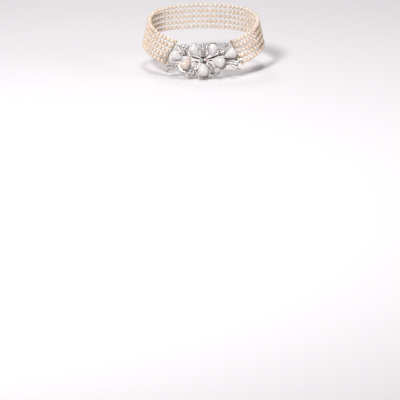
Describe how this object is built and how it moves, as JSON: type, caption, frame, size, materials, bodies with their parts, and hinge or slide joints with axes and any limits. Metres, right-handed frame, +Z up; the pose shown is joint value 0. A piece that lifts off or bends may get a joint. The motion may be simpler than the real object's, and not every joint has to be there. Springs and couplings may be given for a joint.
{
  "type": "pearl choker necklace",
  "caption": "Multi-row pearl choker with a bowed centrepiece of drop pearls and stone-set leaf sprays, end bars and a hidden box clasp.",
  "frame": {"origin": "on the axis of the neck that the choker is worn on, level with the middle of the band", "axes": "+X to the wearer's left across the choker's width, -Y to the front where the centrepiece is, +Z up along the neck"},
  "size_m": [0.1224, 0.1207, 0.0524],
  "materials": {
    "row_pearl": "glossy cream nacre with a rose overtone",
    "drop_pearl": "baroque silver-white nacre",
    "drop_pearl_rose": "baroque rose-beige nacre",
    "silver_setting": "darkened silver",
    "silver_leaf": "polished silver with dark recesses",
    "gold": "polished yellow gold",
    "brilliant": "faceted clear stone",
    "centre_stone": "faceted pale stone",
    "silk": "twisted silk thread"
  },
  "bodies": {
    "centrepiece": {"gallery": "silver_setting", "clasp_box": "silver_setting", "left_end_bar": "gold", "collets": "silver_setting", "drop_pearl_1": "drop_pearl", "drop_pearl_2": "drop_pearl", "drop_pearl_3": "drop_pearl", "drop_pearl_4": "drop_pearl", "drop_pearl_5": "drop_pearl_rose", "drop_pearl_6": "drop_pearl", "drop_pearl_7": "drop_pearl", "leaf_spray_1": "silver_leaf", "leaf_spray_2": "silver_leaf", "leaf_spray_3": "silver_leaf", "leaf_spray_4": "silver_leaf", "leaf_spray_5": "silver_leaf", "leaf_spray_6": "silver_leaf", "leaf_spray_7": "silver_leaf", "brilliants": "brilliant", "centre_stones": "centre_stone"},
    "tongue": {"clasp_tongue": "gold", "right_end_bar": "gold"},
    "catch_leaf": {"catch_leaf": "gold"},
    "left_front_band": {"left_front_row_1": "row_pearl", "left_front_row_2": "row_pearl", "left_front_row_3": "row_pearl", "left_front_row_4": "row_pearl", "left_front_row_5": "row_pearl", "left_front_silk": "silk"},
    "left_side_band": {"left_side_row_1": "row_pearl", "left_side_row_2": "row_pearl", "left_side_row_3": "row_pearl", "left_side_row_4": "row_pearl", "left_side_row_5": "row_pearl", "left_side_silk": "silk"},
    "left_back_band": {"left_back_row_1": "row_pearl", "left_back_row_2": "row_pearl", "left_back_row_3": "row_pearl", "left_back_row_4": "row_pearl", "left_back_row_5": "row_pearl", "left_back_silk": "silk"},
    "right_front_band": {"right_front_row_1": "row_pearl", "right_front_row_2": "row_pearl", "right_front_row_3": "row_pearl", "right_front_row_4": "row_pearl", "right_front_row_5": "row_pearl", "right_front_silk": "silk"},
    "right_side_band": {"right_side_row_1": "row_pearl", "right_side_row_2": "row_pearl", "right_side_row_3": "row_pearl", "right_side_row_4": "row_pearl", "right_side_row_5": "row_pearl", "right_side_silk": "silk"},
    "right_back_band": {"right_back_row_1": "row_pearl", "right_back_row_2": "row_pearl", "right_back_row_3": "row_pearl", "right_back_row_4": "row_pearl", "right_back_row_5": "row_pearl", "right_back_silk": "silk"}
  },
  "joints": [
    {"name": "tongue_slide", "type": "slide", "parent": "centrepiece", "child": "tongue", "axis": [0.9401, 0.3408, 0], "range_m": [0, 0.013]},
    {"name": "catch_press", "type": "hinge", "parent": "tongue", "child": "catch_leaf", "pos_m": [0.02099, -0.04787, -0.013], "axis": [-0.1332, 0.3673, 0.9205], "range_deg": [0, 3], "stiffness_Nm_per_rad": 0.02},
    {"name": "right_swing", "type": "hinge", "parent": "tongue", "child": "right_front_band", "pos_m": [0.03249, -0.04293, -0.00914], "axis": [0.4565, -0.1425, -0.8782], "range_deg": [0, 35]},
    {"name": "right_front_flex", "type": "hinge", "parent": "right_front_band", "child": "right_side_band", "pos_m": [0.0564, -0.00232, 0.00256], "axis": [0.2407, 0.1631, -0.9568], "range_deg": [0, 34]},
    {"name": "right_back_flex", "type": "hinge", "parent": "right_side_band", "child": "right_back_band", "pos_m": [0.03964, 0.03418, 0.00755], "axis": [0.0101, 0.1309, -0.9913], "range_deg": [0, 34]},
    {"name": "left_swing", "type": "hinge", "parent": "centrepiece", "child": "left_front_band", "pos_m": [-0.03249, -0.04293, -0.00914], "axis": [0.4565, 0.1425, 0.8782], "range_deg": [0, 35]},
    {"name": "left_front_flex", "type": "hinge", "parent": "left_front_band", "child": "left_side_band", "pos_m": [-0.0564, -0.00232, 0.00256], "axis": [0.2407, -0.1631, 0.9568], "range_deg": [0, 34]},
    {"name": "left_back_flex", "type": "hinge", "parent": "left_side_band", "child": "left_back_band", "pos_m": [-0.03964, 0.03418, 0.00755], "axis": [0.0101, -0.1309, 0.9913], "range_deg": [0, 34]}
  ]
}
